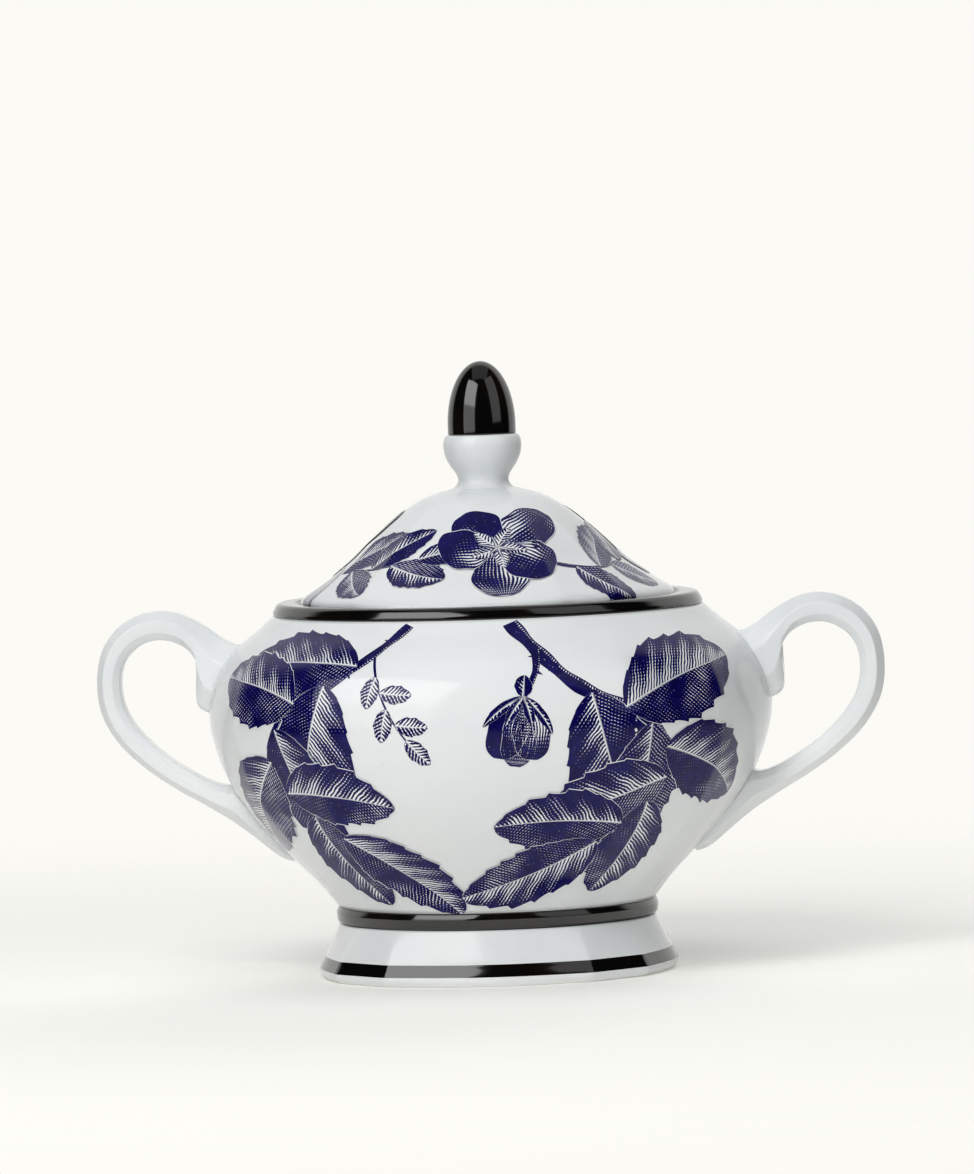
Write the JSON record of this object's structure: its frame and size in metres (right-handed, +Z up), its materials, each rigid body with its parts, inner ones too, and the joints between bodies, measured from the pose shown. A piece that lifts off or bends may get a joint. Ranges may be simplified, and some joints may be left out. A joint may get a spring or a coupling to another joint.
{
  "type": "covered sugar bowl",
  "caption": "Round ridged porcelain bowl on a flared foot, with ear-shaped side handles and a loose domed lid with a knob.",
  "frame": {"origin": "on the table, under the middle of the foot", "axes": "+Z up, +X along the line of the two handles, -Y towards the front"},
  "size_m": [0.1662, 0.1184, 0.1283],
  "materials": {
    "printed_porcelain": "gloss",
    "porcelain": "gloss",
    "black_enamel": "gloss"
  },
  "bodies": {
    "bowl": {"bowl_body": "printed_porcelain", "rim_band": "black_enamel", "waist_bead": "black_enamel", "foot": "porcelain", "handle_left": "porcelain", "handle_right": "porcelain"},
    "lid": {"lid_shell": "printed_porcelain", "lid_flange": "porcelain", "finial_cup": "porcelain", "finial_acorn": "black_enamel"}
  },
  "joints": [
    {"name": "lid_lift", "type": "slide", "parent": "bowl", "child": "lid", "axis": [0, 0, 1], "range_m": [0, 0.06]}
  ]
}
